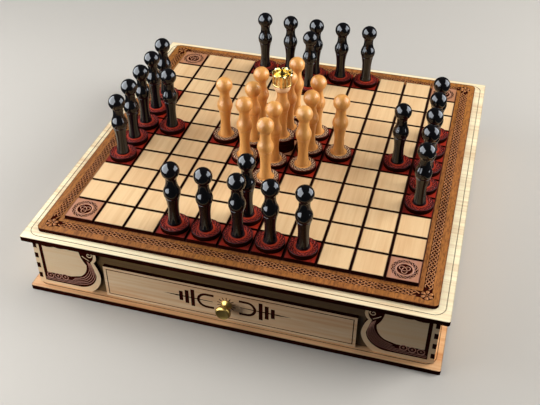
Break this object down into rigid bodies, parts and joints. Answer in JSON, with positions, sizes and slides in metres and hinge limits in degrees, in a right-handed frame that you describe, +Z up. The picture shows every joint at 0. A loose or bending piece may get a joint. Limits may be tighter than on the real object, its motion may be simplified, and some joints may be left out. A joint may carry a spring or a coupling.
{
  "type": "hnefatafl board",
  "caption": "Tabletop hnefatafl board: a shallow box with a pull-out drawer, a tiled playing field inside a knotwork border, and loose turned men round a crowned king.",
  "frame": {"origin": "middle of the base plate's underside, on the surface the board stands on", "axes": "+Z up, -Y towards the player who opens the drawer, +X to that player's right"},
  "size_m": [0.325, 0.3296, 0.1332],
  "materials": {
    "warm_birch": "satin",
    "pale_birch": "satin",
    "panel_ply": "satin",
    "inner_ply": "matte",
    "stained_border": "satin",
    "stained_tile": "satin",
    "pale_tile": "satin",
    "red_tile": "satin",
    "red_disc": "satin",
    "cream_disc": "satin",
    "dark_edge": "satin",
    "black_lacquer": "gloss",
    "honey_beech": "satin",
    "brass": "polished",
    "screw_steel": "satin"
  },
  "bodies": {
    "board": {"base_plate": "warm_birch", "left_side_panel": "panel_ply", "right_side_panel": "panel_ply", "back_panel": "panel_ply", "left_prow_panel": "panel_ply", "right_prow_panel": "panel_ply", "front_wall": "inner_ply", "drawer_guides": "inner_ply", "top_board": "pale_birch", "border_panel": "stained_border", "plain_tiles": "pale_tile", "red_tiles": "red_tile", "corner_tiles": "stained_tile", "throne_tile": "stained_tile"},
    "drawer": {"drawer_front": "panel_ply", "drawer_bottom": "inner_ply", "drawer_sides": "inner_ply", "drawer_back": "inner_ply", "drawer_knob": "brass", "knob_screw": "screw_steel"},
    "king": {"king_plinth": "dark_edge", "king_disc": "cream_disc", "king_peg": "honey_beech", "king_crown": "brass"},
    "attacker_01": {"attacker_01": "black_lacquer"},
    "attacker_02": {"attacker_02": "black_lacquer"},
    "attacker_03": {"attacker_03": "black_lacquer"},
    "attacker_04": {"attacker_04": "black_lacquer"},
    "attacker_05": {"attacker_05": "black_lacquer"},
    "attacker_06": {"attacker_06": "black_lacquer"},
    "attacker_07": {"attacker_07": "black_lacquer"},
    "attacker_08": {"attacker_08": "black_lacquer"},
    "attacker_09": {"attacker_09": "black_lacquer"},
    "attacker_10": {"attacker_10": "black_lacquer"},
    "attacker_11": {"attacker_11": "black_lacquer"},
    "attacker_12": {"attacker_12": "black_lacquer"},
    "attacker_13": {"attacker_13": "black_lacquer"},
    "attacker_14": {"attacker_14": "black_lacquer"},
    "attacker_15": {"attacker_15": "black_lacquer"},
    "attacker_16": {"attacker_16": "black_lacquer"},
    "attacker_17": {"attacker_17": "black_lacquer"},
    "attacker_18": {"attacker_18": "black_lacquer"},
    "attacker_19": {"attacker_19": "black_lacquer"},
    "attacker_20": {"attacker_20": "black_lacquer"},
    "attacker_21": {"attacker_21": "black_lacquer"},
    "attacker_22": {"attacker_22": "black_lacquer"},
    "attacker_23": {"attacker_23": "black_lacquer"},
    "attacker_24": {"attacker_24": "black_lacquer"},
    "defender_01": {"defender_01": "honey_beech"},
    "defender_02": {"defender_02": "honey_beech"},
    "defender_03": {"defender_03": "honey_beech"},
    "defender_04": {"defender_04": "honey_beech"},
    "defender_05": {"defender_05": "honey_beech"},
    "defender_06": {"defender_06": "honey_beech"},
    "defender_07": {"defender_07": "honey_beech"},
    "defender_08": {"defender_08": "honey_beech"},
    "defender_09": {"defender_09": "honey_beech"},
    "defender_10": {"defender_10": "honey_beech"},
    "defender_11": {"defender_11": "honey_beech"},
    "defender_12": {"defender_12": "honey_beech"}
  },
  "joints": [
    {"name": "drawer_slide", "type": "slide", "parent": "board", "child": "drawer", "axis": [0, -1, 0], "range_m": [0, 0.24]},
    {"name": "king_lift", "type": "slide", "parent": "board", "child": "king", "axis": [0, 0, 1], "range_m": [0, 0.08]},
    {"name": "attacker_01_lift", "type": "slide", "parent": "board", "child": "attacker_01", "axis": [0, 0, 1], "range_m": [0, 0.08]},
    {"name": "attacker_02_lift", "type": "slide", "parent": "board", "child": "attacker_02", "axis": [0, 0, 1], "range_m": [0, 0.08]},
    {"name": "attacker_03_lift", "type": "slide", "parent": "board", "child": "attacker_03", "axis": [0, 0, 1], "range_m": [0, 0.08]},
    {"name": "attacker_04_lift", "type": "slide", "parent": "board", "child": "attacker_04", "axis": [0, 0, 1], "range_m": [0, 0.08]},
    {"name": "attacker_05_lift", "type": "slide", "parent": "board", "child": "attacker_05", "axis": [0, 0, 1], "range_m": [0, 0.08]},
    {"name": "attacker_06_lift", "type": "slide", "parent": "board", "child": "attacker_06", "axis": [0, 0, 1], "range_m": [0, 0.08]},
    {"name": "attacker_07_lift", "type": "slide", "parent": "board", "child": "attacker_07", "axis": [0, 0, 1], "range_m": [0, 0.08]},
    {"name": "attacker_08_lift", "type": "slide", "parent": "board", "child": "attacker_08", "axis": [0, 0, 1], "range_m": [0, 0.08]},
    {"name": "attacker_09_lift", "type": "slide", "parent": "board", "child": "attacker_09", "axis": [0, 0, 1], "range_m": [0, 0.08]},
    {"name": "attacker_10_lift", "type": "slide", "parent": "board", "child": "attacker_10", "axis": [0, 0, 1], "range_m": [0, 0.08]},
    {"name": "attacker_11_lift", "type": "slide", "parent": "board", "child": "attacker_11", "axis": [0, 0, 1], "range_m": [0, 0.08]},
    {"name": "attacker_12_lift", "type": "slide", "parent": "board", "child": "attacker_12", "axis": [0, 0, 1], "range_m": [0, 0.08]},
    {"name": "attacker_13_lift", "type": "slide", "parent": "board", "child": "attacker_13", "axis": [0, 0, 1], "range_m": [0, 0.08]},
    {"name": "attacker_14_lift", "type": "slide", "parent": "board", "child": "attacker_14", "axis": [0, 0, 1], "range_m": [0, 0.08]},
    {"name": "attacker_15_lift", "type": "slide", "parent": "board", "child": "attacker_15", "axis": [0, 0, 1], "range_m": [0, 0.08]},
    {"name": "attacker_16_lift", "type": "slide", "parent": "board", "child": "attacker_16", "axis": [0, 0, 1], "range_m": [0, 0.08]},
    {"name": "attacker_17_lift", "type": "slide", "parent": "board", "child": "attacker_17", "axis": [0, 0, 1], "range_m": [0, 0.08]},
    {"name": "attacker_18_lift", "type": "slide", "parent": "board", "child": "attacker_18", "axis": [0, 0, 1], "range_m": [0, 0.08]},
    {"name": "attacker_19_lift", "type": "slide", "parent": "board", "child": "attacker_19", "axis": [0, 0, 1], "range_m": [0, 0.08]},
    {"name": "attacker_20_lift", "type": "slide", "parent": "board", "child": "attacker_20", "axis": [0, 0, 1], "range_m": [0, 0.08]},
    {"name": "attacker_21_lift", "type": "slide", "parent": "board", "child": "attacker_21", "axis": [0, 0, 1], "range_m": [0, 0.08]},
    {"name": "attacker_22_lift", "type": "slide", "parent": "board", "child": "attacker_22", "axis": [0, 0, 1], "range_m": [0, 0.08]},
    {"name": "attacker_23_lift", "type": "slide", "parent": "board", "child": "attacker_23", "axis": [0, 0, 1], "range_m": [0, 0.08]},
    {"name": "attacker_24_lift", "type": "slide", "parent": "board", "child": "attacker_24", "axis": [0, 0, 1], "range_m": [0, 0.08]},
    {"name": "defender_01_lift", "type": "slide", "parent": "board", "child": "defender_01", "axis": [0, 0, 1], "range_m": [0, 0.08]},
    {"name": "defender_02_lift", "type": "slide", "parent": "board", "child": "defender_02", "axis": [0, 0, 1], "range_m": [0, 0.08]},
    {"name": "defender_03_lift", "type": "slide", "parent": "board", "child": "defender_03", "axis": [0, 0, 1], "range_m": [0, 0.08]},
    {"name": "defender_04_lift", "type": "slide", "parent": "board", "child": "defender_04", "axis": [0, 0, 1], "range_m": [0, 0.08]},
    {"name": "defender_05_lift", "type": "slide", "parent": "board", "child": "defender_05", "axis": [0, 0, 1], "range_m": [0, 0.08]},
    {"name": "defender_06_lift", "type": "slide", "parent": "board", "child": "defender_06", "axis": [0, 0, 1], "range_m": [0, 0.08]},
    {"name": "defender_07_lift", "type": "slide", "parent": "board", "child": "defender_07", "axis": [0, 0, 1], "range_m": [0, 0.08]},
    {"name": "defender_08_lift", "type": "slide", "parent": "board", "child": "defender_08", "axis": [0, 0, 1], "range_m": [0, 0.08]},
    {"name": "defender_09_lift", "type": "slide", "parent": "board", "child": "defender_09", "axis": [0, 0, 1], "range_m": [0, 0.08]},
    {"name": "defender_10_lift", "type": "slide", "parent": "board", "child": "defender_10", "axis": [0, 0, 1], "range_m": [0, 0.08]},
    {"name": "defender_11_lift", "type": "slide", "parent": "board", "child": "defender_11", "axis": [0, 0, 1], "range_m": [0, 0.08]},
    {"name": "defender_12_lift", "type": "slide", "parent": "board", "child": "defender_12", "axis": [0, 0, 1], "range_m": [0, 0.08]}
  ]
}
